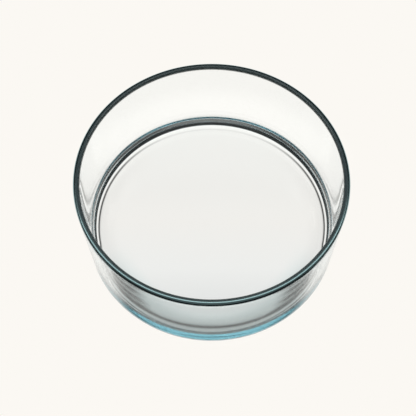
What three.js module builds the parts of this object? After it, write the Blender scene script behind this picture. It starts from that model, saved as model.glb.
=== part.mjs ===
// A laboratory evaporating dish: a round, flat-bottomed dish pressed from one piece of clear glass.
// Millimetres, +Z up. The origin is the centre of the base, on the surface that the dish stands on.

import * as THREE from 'three';

// Driving dimensions.
const HEIGHT = 40;
const LIP_DIAMETER = 100; // outside, at the top
const FOOT_DIAMETER = 98.6; // outside, where the drafted wall meets the plane of the base
const WALL_THICKNESS = 2.3;
const BASE_THICKNESS = 3.7;
const HEEL_RADIUS = 1.2; // outside corner between the base and the wall
const FILLET_RADIUS = 5.5; // inside corner between the floor and the wall
const LIP_RADIUS = 0.9; // both edges of the fire-polished lip

// How finely the round shapes are cut.
const TURN_SEGMENTS = 96;
const HEEL_STEPS = 5;
const LIP_STEPS = 5;
const FILLET_STEPS = 10;

const GLASS_COLOUR = 0xdfeff0;

// The wall leans outwards a little, as a pressed piece does so that it leaves its mould.
function outerRadius(z) {
  const footRadius = FOOT_DIAMETER / 2;
  const lipRadius = LIP_DIAMETER / 2;
  return footRadius + (lipRadius - footRadius) * (z / HEIGHT);
}

function innerRadius(z) {
  return outerRadius(z) - WALL_THICKNESS;
}

// Points of an arc in the profile's plane, both ends included. Angle 0 points away from the axis.
function arc(centreRadius, centreZ, radius, fromDegrees, toDegrees, steps) {
  const points = [];
  for (let step = 0; step <= steps; step += 1) {
    const angle = THREE.MathUtils.degToRad(THREE.MathUtils.lerp(fromDegrees, toDegrees, step / steps));
    const r = centreRadius + radius * Math.cos(angle);
    const z = centreZ + radius * Math.sin(angle);
    points.push(new THREE.Vector2(r, z));
  }
  return points;
}

// The half section of the glass, from the axis under the base, round the outside, and back to the axis.
function dishProfile() {
  const lipZ = HEIGHT - LIP_RADIUS;
  const filletZ = BASE_THICKNESS + FILLET_RADIUS;
  const heel = arc(outerRadius(HEEL_RADIUS) - HEEL_RADIUS, HEEL_RADIUS, HEEL_RADIUS, -90, 0, HEEL_STEPS);
  const lipOutside = arc(LIP_DIAMETER / 2 - LIP_RADIUS, lipZ, LIP_RADIUS, 0, 90, LIP_STEPS);
  const lipInside = arc(innerRadius(HEIGHT) + LIP_RADIUS, lipZ, LIP_RADIUS, 90, 180, LIP_STEPS);
  const fillet = arc(innerRadius(filletZ) - FILLET_RADIUS, filletZ, FILLET_RADIUS, 0, -90, FILLET_STEPS);
  return [
    new THREE.Vector2(0, 0),
    ...heel,
    ...lipOutside,
    ...lipInside,
    ...fillet,
    new THREE.Vector2(0, BASE_THICKNESS),
  ];
}

// The profile turned about +Z. LatheGeometry turns about its own Y axis, so the result is stood up.
function dishBody() {
  const geometry = new THREE.LatheGeometry(dishProfile(), TURN_SEGMENTS);
  geometry.rotateX(Math.PI / 2);
  const material = new THREE.MeshStandardMaterial({
    color: GLASS_COLOUR,
    roughness: 0.03,
    metalness: 0,
    transparent: true,
    opacity: 0.35,
  });
  const mesh = new THREE.Mesh(geometry, material);
  mesh.name = 'dish';
  return mesh;
}

const evaporatingDish = new THREE.Group();
evaporatingDish.add(dishBody());

export default evaporatingDish;
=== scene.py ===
"""A clear glass evaporating dish on a pale table, lit for glass.

A broad softbox hangs high overhead and a pale backdrop stands low down. The room between them is dark,
which draws the edges of the glass dark. Rings and streaks seen through the glass are painted shade on the
table, with painted light in the gap inside the ring and behind the dish. The lip's dark is painted shade.
The dish is turned from the same section as the CAD part, in metres, +Z up, standing on Z = 0.
"""
import math
from types import SimpleNamespace

import bpy
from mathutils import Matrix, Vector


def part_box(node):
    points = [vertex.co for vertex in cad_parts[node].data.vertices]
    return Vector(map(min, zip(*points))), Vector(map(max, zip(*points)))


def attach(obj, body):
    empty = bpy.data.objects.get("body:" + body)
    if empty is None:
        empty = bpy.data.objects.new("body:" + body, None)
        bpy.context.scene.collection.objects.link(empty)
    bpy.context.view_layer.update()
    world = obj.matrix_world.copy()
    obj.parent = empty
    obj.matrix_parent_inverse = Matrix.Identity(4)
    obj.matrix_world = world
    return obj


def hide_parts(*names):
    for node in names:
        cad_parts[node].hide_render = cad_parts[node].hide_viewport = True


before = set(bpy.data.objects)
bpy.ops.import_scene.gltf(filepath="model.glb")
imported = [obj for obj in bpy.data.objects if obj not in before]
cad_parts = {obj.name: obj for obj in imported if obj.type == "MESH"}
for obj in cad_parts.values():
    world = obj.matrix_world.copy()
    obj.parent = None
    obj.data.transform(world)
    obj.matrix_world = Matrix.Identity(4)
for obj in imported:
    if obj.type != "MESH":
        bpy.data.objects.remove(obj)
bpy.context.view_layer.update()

MM = 0.001

# The section of the glass. The outside sizes come from the frame; the rest are the part's own sizes.
node_low, node_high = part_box("dish")
LIP_RADIUS = (node_high[0] - node_low[0]) / 2
HEIGHT = node_high[2] - node_low[2]
DRAFT = 0.7 * MM  # how much narrower the wall is at the base than at the lip
WALL = 2.3 * MM
BASE = 3.7 * MM
HEEL_ROUND = 1.2 * MM
LIP_ROUND = 0.9 * MM
FILLET = 5.5 * MM
TURN_STEPS = 384
ROUND_STEPS = 16
FILLET_STEPS = 32
LONGEST_EDGE = 3 * MM

GLASS_IOR = 1.47
GLASS_TINT = (0.0, 0.5, 0.62, 1.0)
GLASS_DENSITY = 13.0

# Painted shade of the lip, from its inner to its outer edge, and the colour of its painted shine along its
# top.
LIP_PAINTED_SHADE = [
    (0.0, (0.07, 0.1, 0.105)),
    (0.3, (0.13, 0.19, 0.207)),
    (0.6, (0.13, 0.185, 0.205)),
    (0.9, (0.11, 0.157, 0.175)),
    (1.0, (0.09, 0.135, 0.145)),
]
LIP_DARK_DEPTH = 1.6 * MM
LIP_SHINE = (0.27, 0.42, 0.45, 1.0)
LIP_SHINE_EDGE = (48.8 * MM, 49.0 * MM)
LIP_ROUGHNESS = 0.15

# Ripples of the wall: from crest to crest, and how far they rise.
RIPPLE_LENGTH = 10.0 * MM
RIPPLE_DEPTH = 0.0008 * MM

# Strengths of the lights. The softbox is laid out by slope: its two ends along Y, its edge across X, and
# how its strength runs from one end to the other.
SOFTBOX = 1.95
SOFTBOX_ALONG = (-0.2, 0.8)
SOFTBOX_ACROSS = (0.9, 1.1)
SOFTBOX_PROFILE = [
    (0.06, 0.0),
    (0.2, 0.45),
    (0.38, 0.45),
    (0.48, 1.0),
    (0.54, 1.0),
    (0.59, 0.2),
    (0.7, 0.2),
    (0.76, 0.0),
]
FRONT_FILL = 0.18
BACKDROP = 0.9
BACKDROP_HEIGHT = 0.04
BACKDROP_RISE = 0.06  # how much taller it is behind the dish
BACKDROP_FADE = 0.14
BELOW_BACK = 0.95
AMBIENT = 0.02

# Painted shade of the table seen through the dish, from front to back: darker and cooler in front.
FLOOR_PAINTED_SHADE = [
    (0.0, (0.78, 0.785, 0.77)),
    (0.08, (0.84, 0.835, 0.82)),
    (0.25, (0.93, 0.915, 0.89)),
    (0.5, (0.955, 0.92, 0.88)),
    (1.0, (0.99, 0.97, 0.93)),
]

# Painted shade on the table: a cool painted shade under the glass of the corner, and a tint in the painted
# contact shadow where the dish touches it. Painted light lifts it in the gap inside the contact ring, and
# behind the dish, as a painted pool of the light the glass gathers.
CORNER_PAINTED_SHADE = (0.7, 0.78, 0.765)
CONTACT_SHADOW_TINT = (0.8, 0.88, 0.88)
GAP_PAINTED_LIGHT = 0.13
PAINTED_GATHERED_LIGHT = 0.07
DARKEST = 0.03

# Through the front wall, the table at radius LEVEL_RADIUS - height * (LEVEL_SPREAD * frontness +
# LEVEL_OFFSET) shows at that height of the wall. All in millimetres.
LEVEL_RADIUS = 49.2
LEVEL_SPREAD = 0.445
LEVEL_OFFSET = -0.085

# Streaks of painted shade on the table that show level on the wall: how they alternate with height,
# in millimetres, and where they start and end by frontness and by height
# (start, end, strength before, strength after).
STREAK_SPACING = 9.5
STREAK_LEVEL = 20.0
STREAK_MEAN = 0.78
STREAK_SWING = 0.2
STREAK_LEAN = 0.0075
STREAK_FRONTNESS = ((0.52, 0.62, 0.0, 1.0), (0.78, 0.96, 1.0, 0.0))
STREAK_LEVELS = ((14.0, 17.0, 0.0, 1.0), (42.0, 46.0, 1.0, 0.0))

# Radii of the painted shadow marks on the table, the contact shadow ring and the thin line, in
# millimetres.
SHADOW_RING_ENTER = (47.4, 48.0)
SHADOW_RING_LEAVE = (49.0, 50.1)
SHADOW_RING_CLOSER_IN_FRONT = 1.1
SHADOW_LINE_RADIUS = 45.9
SHADOW_LINE_WIDTH = 0.58
SIDE_SHIFT = 0.35  # how much further out the marks lie at the two sides

# Pale cream of the table and the backdrop, as linear light.
CREAM = (0.965, 0.939, 0.896)

# The table top, and the disc of it under the dish, just clear of the glass.
TABLE_HALF = 6.0
TABLE_GAP = 0.21 * MM
DISC_GAP = 0.2 * MM
DISC_STEPS = 96

# The camera looks at the dish from the front and above. Distance in lip radii, angles in degrees.
CAMERA_DISTANCE = 6.708
CAMERA_ELEVATION = 63.532
CAMERA_PITCH = 62.422
CAMERA_LENS = 72.0
CAMERA_SHIFT = -0.00875

LIGHT_BOUNCES = 32


def outer_radius(z):
    return LIP_RADIUS - DRAFT * (1 - z / HEIGHT)


def inner_radius(z):
    return outer_radius(z) - WALL


def arc(centre_r, centre_z, radius, from_degrees, to_degrees, steps):
    """Points of an arc of the section, both ends included. Angle 0 points away from the axis."""
    points = []
    for step in range(steps + 1):
        angle = math.radians(from_degrees + (to_degrees - from_degrees) * step / steps)
        points.append((centre_r + radius * math.cos(angle), centre_z + radius * math.sin(angle)))
    return points


def between(start, end, longest):
    """Points strictly between two points of the section, no further apart than longest."""
    gap = math.dist(start, end)
    steps = max(1, math.ceil(gap / longest))
    points = []
    for step in range(1, steps):
        part = step / steps
        points.append((start[0] + (end[0] - start[0]) * part, start[1] + (end[1] - start[1]) * part))
    return points


def dish_section():
    """Half section of the glass: axis under the base, round the outside, back to the axis inside."""
    lip_z = HEIGHT - LIP_ROUND
    fillet_z = BASE + FILLET
    heel = arc(outer_radius(HEEL_ROUND) - HEEL_ROUND, HEEL_ROUND, HEEL_ROUND, -90, 0, ROUND_STEPS)
    lip_outside = arc(LIP_RADIUS - LIP_ROUND, lip_z, LIP_ROUND, 0, 90, ROUND_STEPS)
    lip_inside = arc(inner_radius(HEIGHT) + LIP_ROUND, lip_z, LIP_ROUND, 90, 180, ROUND_STEPS)
    fillet = arc(inner_radius(fillet_z) - FILLET, fillet_z, FILLET, 0, -90, FILLET_STEPS)
    stretches = [[(0.0, 0.0)], heel, lip_outside, lip_inside, fillet, [(0.0, BASE)]]
    section = []
    for stretch in stretches:
        if section:
            section += between(section[-1], stretch[0], LONGEST_EDGE)
        section += stretch
    return section


def turned_mesh(name, section, steps):
    """The section turned about Z into one closed, smooth-shaded mesh."""
    vertices = []
    rings = []
    for radius, z in section:
        if radius == 0:
            rings.append([len(vertices)] * steps)
            vertices.append((0, 0, z))
            continue
        rings.append(list(range(len(vertices), len(vertices) + steps)))
        for step in range(steps):
            turn = 2 * math.pi * step / steps
            vertices.append((radius * math.cos(turn), radius * math.sin(turn), z))
    faces = []
    for lower, upper in zip(rings, rings[1:]):
        for step in range(steps):
            after = (step + 1) % steps
            corners = [lower[step], lower[after], upper[after], upper[step]]
            faces.append(list(dict.fromkeys(corners)))
    mesh = bpy.data.meshes.new(name)
    mesh.from_pydata(vertices, [], faces)
    mesh.polygons.foreach_set("use_smooth", [True] * len(mesh.polygons))
    mesh.update()
    piece = bpy.data.objects.new(name, mesh)
    bpy.context.scene.collection.objects.link(piece)
    return piece


class Nodes:
    """Short calls for building a node tree."""

    def __init__(self, tree):
        self.tree = tree
        tree.nodes.clear()

    def add(self, kind, inputs=None, **settings):
        node = self.tree.nodes.new(kind)
        for name, value in settings.items():
            setattr(node, name, value)
        for name, value in (inputs or {}).items():
            socket = node.inputs[name]
            if isinstance(value, bpy.types.NodeSocket):
                self.tree.links.new(value, socket)
            else:
                socket.default_value = value
        return node

    def math(self, operation, *values):
        node = self.add("ShaderNodeMath", operation=operation)
        for socket, value in zip(node.inputs, values):
            if isinstance(value, bpy.types.NodeSocket):
                self.tree.links.new(value, socket)
            else:
                socket.default_value = value
        return node.outputs[0]

    def distance_from_axis(self, split):
        x, y = split.outputs["X"], split.outputs["Y"]
        x_squared = self.math("MULTIPLY", x, x)
        y_squared = self.math("MULTIPLY", y, y)
        return self.math("SQRT", self.math("ADD", x_squared, y_squared))

    def bell(self, value, centre, width):
        """1 at centre, falling away on both sides over about width."""
        away = self.math("DIVIDE", self.math("SUBTRACT", value, centre), width)
        return self.math("EXPONENT", self.math("MULTIPLY", self.math("MULTIPLY", away, away), -1.0))

    def blend(self, factor, first, second):
        """first where factor is 0, second where it is 1."""
        step = self.math("SUBTRACT", second, first)
        return self.math("MULTIPLY_ADD", step, factor, first)

    def ramp(self, value, stops, interpolation="EASE"):
        """stops is a list of (position, grey or colour)."""
        node = self.add("ShaderNodeValToRGB")
        ramp = node.color_ramp
        ramp.interpolation = interpolation
        while len(ramp.elements) < len(stops):
            ramp.elements.new(0)
        for element, (position, colour) in zip(ramp.elements, stops):
            element.position = position
            if not isinstance(colour, tuple):
                colour = (colour, colour, colour)
            element.color = colour + (1,)
        self.tree.links.new(value, node.inputs["Fac"])
        return node.outputs["Color"]

    def mix(self, factor, first, second):
        node = self.add("ShaderNodeMix", data_type="RGBA")
        for index, value in ((0, factor), (6, first), (7, second)):
            if isinstance(value, bpy.types.NodeSocket):
                self.tree.links.new(value, node.inputs[index])
            else:
                node.inputs[index].default_value = value
        return node.outputs[2]

    def smooth(self, value, start, end, low=0.0, high=1.0, easing="SMOOTHSTEP"):
        """low before start, high after end, eased between them."""
        node = self.add(
            "ShaderNodeMapRange",
            {"Value": value, "From Min": start, "From Max": end, "To Min": low, "To Max": high},
            interpolation_type=easing,
        )
        return node.outputs["Result"]


def glass_material():
    material = bpy.data.materials.new("clear_glass")
    material.use_nodes = True
    nodes = Nodes(material.node_tree)
    place = nodes.add("ShaderNodeTexCoord").outputs["Object"]
    split = nodes.add("ShaderNodeSeparateXYZ", {"Vector": place})
    radius = nodes.distance_from_axis(split)
    # The lip is painted dark and nearly opaque: painted shade for deep glass seen end-on, down the height
    # of the wall. Its top and outer side are dull teal metal: a real reflection of the softbox, tinted
    # teal as a painted shine for light turned back inside the glass.
    lip = nodes.smooth(split.outputs["Z"], HEIGHT - LIP_DARK_DEPTH, HEIGHT - LIP_DARK_DEPTH / 2)
    across = nodes.smooth(radius, LIP_RADIUS - WALL, LIP_RADIUS, 0.0, 1.0, "LINEAR")
    shine = nodes.math("MULTIPLY", lip, nodes.smooth(radius, *LIP_SHINE_EDGE))
    # Painted shade of the lip, with its painted shine mixed in.
    painted_dark = nodes.mix(shine, nodes.ramp(across, LIP_PAINTED_SHADE), LIP_SHINE)
    painted_lip_shade = nodes.mix(lip, (1.0, 1.0, 1.0, 1.0), painted_dark)
    # Faint, slow ripples left by pressing run round the wall, clear of the corner.
    wander = nodes.add("ShaderNodeTexNoise", {"Vector": place, "Scale": 18.0, "Detail": 0.0})
    wander = nodes.math("MULTIPLY", wander.outputs["Fac"], 2.0)
    turns = nodes.math("MULTIPLY_ADD", split.outputs["Z"], 2 * math.pi / RIPPLE_LENGTH, wander)
    ripple = nodes.math("SINE", turns)
    on_wall = nodes.smooth(split.outputs["Z"], BASE + FILLET, BASE + 1.6 * FILLET)
    height = nodes.math("MULTIPLY", ripple, on_wall)
    bump = nodes.add("ShaderNodeBump", {"Height": height, "Distance": RIPPLE_DEPTH, "Strength": 1.0})
    shader = nodes.add(
        "ShaderNodeBsdfPrincipled",
        {
            "Base Color": painted_lip_shade,
            "Metallic": shine,
            "Roughness": nodes.math("MULTIPLY", lip, LIP_ROUGHNESS),
            "IOR": GLASS_IOR,
            "Transmission Weight": nodes.math("SUBTRACT", 1.0, lip),
            "Normal": bump.outputs["Normal"],
        },
    )
    absorption = nodes.add("ShaderNodeVolumeAbsorption", {"Color": GLASS_TINT, "Density": GLASS_DENSITY})
    nodes.add(
        "ShaderNodeOutputMaterial",
        {"Surface": shader.outputs["BSDF"], "Volume": absorption.outputs["Volume"]},
    )
    return material


def glass_dish():
    dish = turned_mesh("glass_dish", dish_section(), TURN_STEPS)
    dish.data.materials.append(glass_material())
    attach(dish, "root")
    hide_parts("dish")
    return dish


def table_places(nodes):
    """Where a point of the table lies about the dish, in millimetres and as fractions of the turn."""
    place = nodes.add("ShaderNodeTexCoord").outputs["Object"]
    scaled = nodes.add("ShaderNodeVectorMath", {0: place, "Scale": 1 / MM}, operation="SCALE")
    split = nodes.add("ShaderNodeSeparateXYZ", {"Vector": scaled.outputs["Vector"]})
    radius = nodes.distance_from_axis(split)
    # 1 in front of the axis, 0 at its sides, -1 behind it.
    frontness = nodes.math("DIVIDE", split.outputs["Y"], nodes.math("MULTIPLY", radius, -1.0))
    front = nodes.math("MAXIMUM", frontness, 0.0)
    # How steeply a height on the front wall maps to a radius of the table, and that height.
    spread = nodes.math("MULTIPLY_ADD", front, LEVEL_SPREAD, LEVEL_OFFSET)
    spread = nodes.math("MAXIMUM", spread, 0.02)
    level = nodes.math("DIVIDE", nodes.math("SUBTRACT", LEVEL_RADIUS, radius), spread)
    sideness = nodes.math("MULTIPLY_ADD", nodes.math("MULTIPLY", frontness, frontness), -1.0, 1.0)
    return SimpleNamespace(
        y=split.outputs["Y"],
        radius=radius,
        drawn_in=nodes.math("MULTIPLY_ADD", sideness, -SIDE_SHIFT, radius),
        frontness=frontness,
        back=nodes.math("MAXIMUM", nodes.math("MULTIPLY", frontness, -1.0), 0.0),
        front_cubed=nodes.math("POWER", front, 3.0),
        sideness=sideness,
        spread=spread,
        level=level,
    )


def painted_contact_shadow(nodes, at):
    """Painted contact shadow: a dark ring where the heel meets the table, drawn closer in front and wider
    at the two sides.
    """
    closer = nodes.smooth(at.frontness, -0.1, 0.5)
    wider = nodes.math("MULTIPLY", at.sideness, nodes.smooth(at.frontness, -0.1, 0.4, 0.8, 0.0))
    wider = nodes.math("MULTIPLY_ADD", at.back, 0.2, wider)
    moved = nodes.math("SUBTRACT", wider, closer)
    leave_from = nodes.math("ADD", SHADOW_RING_LEAVE[0], moved)
    leave_to = nodes.math("MULTIPLY_ADD", moved, 1.5, SHADOW_RING_LEAVE[1])
    in_front = nodes.smooth(at.frontness, 0.3, 0.8, 0.0, SHADOW_RING_CLOSER_IN_FRONT)
    entered = nodes.smooth(nodes.math("ADD", at.drawn_in, in_front), *SHADOW_RING_ENTER)
    return nodes.math("SUBTRACT", entered, nodes.smooth(at.radius, leave_from, leave_to))


def painted_shadow_line(nodes, at):
    """Thin painted shadow line inside the ring. It fades at the back and stays nearly level on the wall in
    front.
    """
    in_front = nodes.smooth(at.frontness, 0.2, 0.45)
    height = nodes.smooth(at.frontness, 0.6, 1.0, 20.0, 17.6)
    front_radius = nodes.math("SUBTRACT", LEVEL_RADIUS, nodes.math("MULTIPLY", at.spread, height))
    side_radius = nodes.math("SUBTRACT", SHADOW_LINE_RADIUS, nodes.math("POWER", at.back, 3.0))
    side_radius = nodes.math("MULTIPLY_ADD", at.sideness, SIDE_SHIFT, side_radius)
    line_radius = nodes.blend(in_front, side_radius, front_radius)
    width = nodes.math("MULTIPLY_ADD", at.front_cubed, 0.3, SHADOW_LINE_WIDTH)
    line = nodes.bell(at.radius, line_radius, width)
    return nodes.math("MULTIPLY", line, nodes.smooth(at.back, 0.45, 1.0, 0.97, 0.12))


def painted_wall_streaks(nodes, at):
    """Level streaks of painted shade on the table that show through the two front sides of the wall."""
    height = nodes.math("SUBTRACT", at.level, STREAK_LEVEL)
    turn = nodes.math("MULTIPLY", height, 2 * math.pi / STREAK_SPACING)
    streak = nodes.math("MULTIPLY_ADD", nodes.math("COSINE", turn), STREAK_SWING, STREAK_MEAN)
    leaning = nodes.math("MULTIPLY_ADD", height, STREAK_LEAN, at.frontness)
    for edge in STREAK_FRONTNESS:
        streak = nodes.math("MULTIPLY", streak, nodes.smooth(leaning, *edge))
    for edge in STREAK_LEVELS:
        streak = nodes.math("MULTIPLY", streak, nodes.smooth(at.level, *edge))
    return streak


def painted_wall_shade(nodes, at):
    """Painted shade: the table inside darkens towards the wall, more so in front, but not in the gap by
    the ring.
    """
    depth = nodes.math("MULTIPLY_ADD", at.front_cubed, 0.32, 0.06)
    shade = nodes.math("MULTIPLY", nodes.smooth(at.radius, 37.0, 42.5), depth)
    shade = nodes.math("MAXIMUM", shade, painted_wall_streaks(nodes, at))
    shade = nodes.math("MULTIPLY", shade, nodes.smooth(at.back, 0.3, 0.9, 1.0, 0.0))
    gap = nodes.smooth(at.radius, 46.3, 46.9)
    gap = nodes.math("MULTIPLY", gap, nodes.math("SUBTRACT", 1.0, at.front_cubed))
    shade = nodes.math("MULTIPLY", shade, nodes.math("SUBTRACT", 1.0, gap))
    return nodes.math("MULTIPLY", shade, nodes.smooth(at.radius, 47.8, 48.6, 1.0, 0.0))


def table_colour(nodes, at, contact_shadow, beyond):
    """Cream outside the dish; inside, painted shade leaves it paler at the back, with a cool painted shade
    near the glass of the corner and a tint in the painted contact shadow.
    """
    depth = nodes.smooth(at.y, -40.0, 40.0, 0.0, 1.0, "LINEAR")
    inside = nodes.ramp(depth, FLOOR_PAINTED_SHADE, "LINEAR")
    near_corner = nodes.smooth(at.radius, 33.0, 41.0)
    corner_shade = nodes.math("MULTIPLY", near_corner, nodes.smooth(at.frontness, 0.2, 0.8))
    inside = nodes.mix(corner_shade, inside, CORNER_PAINTED_SHADE + (1,))
    colour = nodes.mix(beyond, inside, CREAM + (1,))
    return nodes.mix(contact_shadow, colour, CONTACT_SHADOW_TINT + (1,))


def table_material():
    material = bpy.data.materials.new("pale_table")
    material.use_nodes = True
    nodes = Nodes(material.node_tree)
    at = table_places(nodes)
    # The painted contact shadow, the painted shadow line and the painted wall shade darken the table.
    contact_shadow = painted_contact_shadow(nodes, at)
    shade = nodes.math("SUBTRACT", 1.0, contact_shadow)
    for painted_dark in (painted_shadow_line(nodes, at), painted_wall_shade(nodes, at)):
        shade = nodes.math("MULTIPLY", shade, nodes.math("SUBTRACT", 1.0, painted_dark))
    shade = nodes.math("MAXIMUM", shade, DARKEST)
    beyond = nodes.smooth(at.drawn_in, 47.5, 48.0)
    # Painted light: the table is lifted brightest in the gap between the thin shadow line and the ring.
    gap_light = nodes.smooth(at.radius, 44.5, 47.0, 1.0, 1 + GAP_PAINTED_LIGHT)
    gap_light = nodes.math("MULTIPLY_ADD", beyond, -GAP_PAINTED_LIGHT, gap_light)
    shade = nodes.math("MULTIPLY", shade, gap_light)
    # Painted light: a pool of light on the table behind the dish, standing in for light gathered by the
    # glass.
    painted_gathered_light = nodes.math("MULTIPLY", nodes.smooth(at.back, 0.35, 0.75, 0.0, PAINTED_GATHERED_LIGHT), beyond)
    painted_gathered_light = nodes.math("MULTIPLY", painted_gathered_light, nodes.smooth(at.radius, 60.0, 72.0, 1.0, 0.0))
    shade = nodes.math("MULTIPLY", shade, nodes.math("ADD", 1.0, painted_gathered_light))
    # The self-lit table's even cream, times all the painted shade and painted light above.
    glow = nodes.add(
        "ShaderNodeVectorMath",
        {0: table_colour(nodes, at, contact_shadow, beyond), "Scale": shade},
        operation="SCALE",
    )
    shader = nodes.add("ShaderNodeEmission", {"Color": glow.outputs["Vector"], "Strength": 1.0})
    nodes.add("ShaderNodeOutputMaterial", {"Surface": shader.outputs["Emission"]})
    return material


def table():
    """A pale table, and a disc of it under the dish that the glass also mirrors."""
    material = table_material()
    half = TABLE_HALF
    corners = [(-half, -half, 0), (half, -half, 0), (half, half, 0), (-half, half, 0)]
    disc = []
    for step in range(DISC_STEPS):
        turn = 2 * math.pi * step / DISC_STEPS
        disc.append((LIP_RADIUS * math.cos(turn), LIP_RADIUS * math.sin(turn), 0))
    for name, outline, gap, mirrored in (
        ("table", corners, TABLE_GAP, False),
        ("table_under_dish", disc, DISC_GAP, True),
    ):
        mesh = bpy.data.meshes.new(name)
        mesh.from_pydata(outline, [], [tuple(range(len(outline)))])
        mesh.materials.append(material)
        top = bpy.data.objects.new(name, mesh)
        top.location.z = -gap
        top.visible_glossy = mirrored
        bpy.context.scene.collection.objects.link(top)


def room():
    """A softbox high overhead and a little behind the dish, a pale backdrop low down, and a dark room.

    The lights are laid out by the slope of a direction: how far it goes in X or Y for each unit up.
    """
    world = bpy.data.worlds.new("room")
    world.use_nodes = True
    bpy.context.scene.world = world
    nodes = Nodes(world.node_tree)
    direction = nodes.add("ShaderNodeTexCoord").outputs["Generated"]
    split = nodes.add("ShaderNodeSeparateXYZ", {"Vector": direction})
    back, up = split.outputs["Y"], split.outputs["Z"]
    safe_up = nodes.math("MAXIMUM", up, 0.001)
    across = nodes.math("ABSOLUTE", nodes.math("DIVIDE", split.outputs["X"], safe_up))
    along = nodes.math("DIVIDE", back, safe_up)
    profile = nodes.ramp(nodes.smooth(along, *SOFTBOX_ALONG, 0.0, 1.0, "LINEAR"), SOFTBOX_PROFILE)
    softbox = nodes.math("MULTIPLY", nodes.smooth(across, *SOFTBOX_ACROSS, SOFTBOX, 0.0), profile)
    # A little light from the camera's side of the room, mostly along the middle.
    front_fill = nodes.smooth(back, -0.2, 0.0, FRONT_FILL, AMBIENT)
    front_fill = nodes.math("MULTIPLY", front_fill, nodes.smooth(across, 0.9, 1.5, 1.0, 0.15))
    # The backdrop is a low band at the sides, taller behind the dish and missing in front.
    rise = nodes.smooth(back, 0.1, 0.4, 0.0, BACKDROP_RISE)
    height = nodes.math("SUBTRACT", up, nodes.math("ADD", rise, BACKDROP_HEIGHT))
    backdrop = nodes.smooth(height, 0.0, BACKDROP_FADE, BACKDROP, 0.0)
    backdrop = nodes.math("MULTIPLY", backdrop, nodes.smooth(back, -0.7, -0.3))
    above = nodes.math("MAXIMUM", backdrop, front_fill)
    # Light from below the table's plane reaches the underside of the glass from behind only.
    below = nodes.smooth(back, 0.0, 0.2, AMBIENT, BELOW_BACK)
    low = nodes.blend(nodes.smooth(up, -0.02, 0.0), below, above)
    strength = nodes.math("ADD", softbox, low)
    light = nodes.add("ShaderNodeBackground", {"Color": CREAM + (1,), "Strength": strength})
    nodes.add("ShaderNodeOutputWorld", {"Surface": light.outputs["Background"]})


def camera():
    data = bpy.data.cameras.new("camera")
    data.sensor_width = 36
    data.lens = CAMERA_LENS
    data.shift_x = CAMERA_SHIFT
    data.clip_start = 0.01
    data.clip_end = 50
    eye = bpy.data.objects.new("camera", data)
    distance = CAMERA_DISTANCE * LIP_RADIUS
    elevation = math.radians(CAMERA_ELEVATION)
    eye.location = (0, -distance * math.cos(elevation), distance * math.sin(elevation))
    eye.rotation_euler = (math.radians(90 - CAMERA_PITCH), 0, 0)
    bpy.context.scene.collection.objects.link(eye)
    bpy.context.scene.camera = eye


def plain_colours():
    """The table's cream reaches the picture unchanged, and light may cross the glass many times."""
    scene = bpy.context.scene
    scene.view_settings.view_transform = "Standard"
    scene.cycles.max_bounces = LIGHT_BOUNCES
    scene.cycles.transmission_bounces = LIGHT_BOUNCES
    scene.cycles.glossy_bounces = LIGHT_BOUNCES


glass_dish()
table()
room()
camera()
plain_colours()
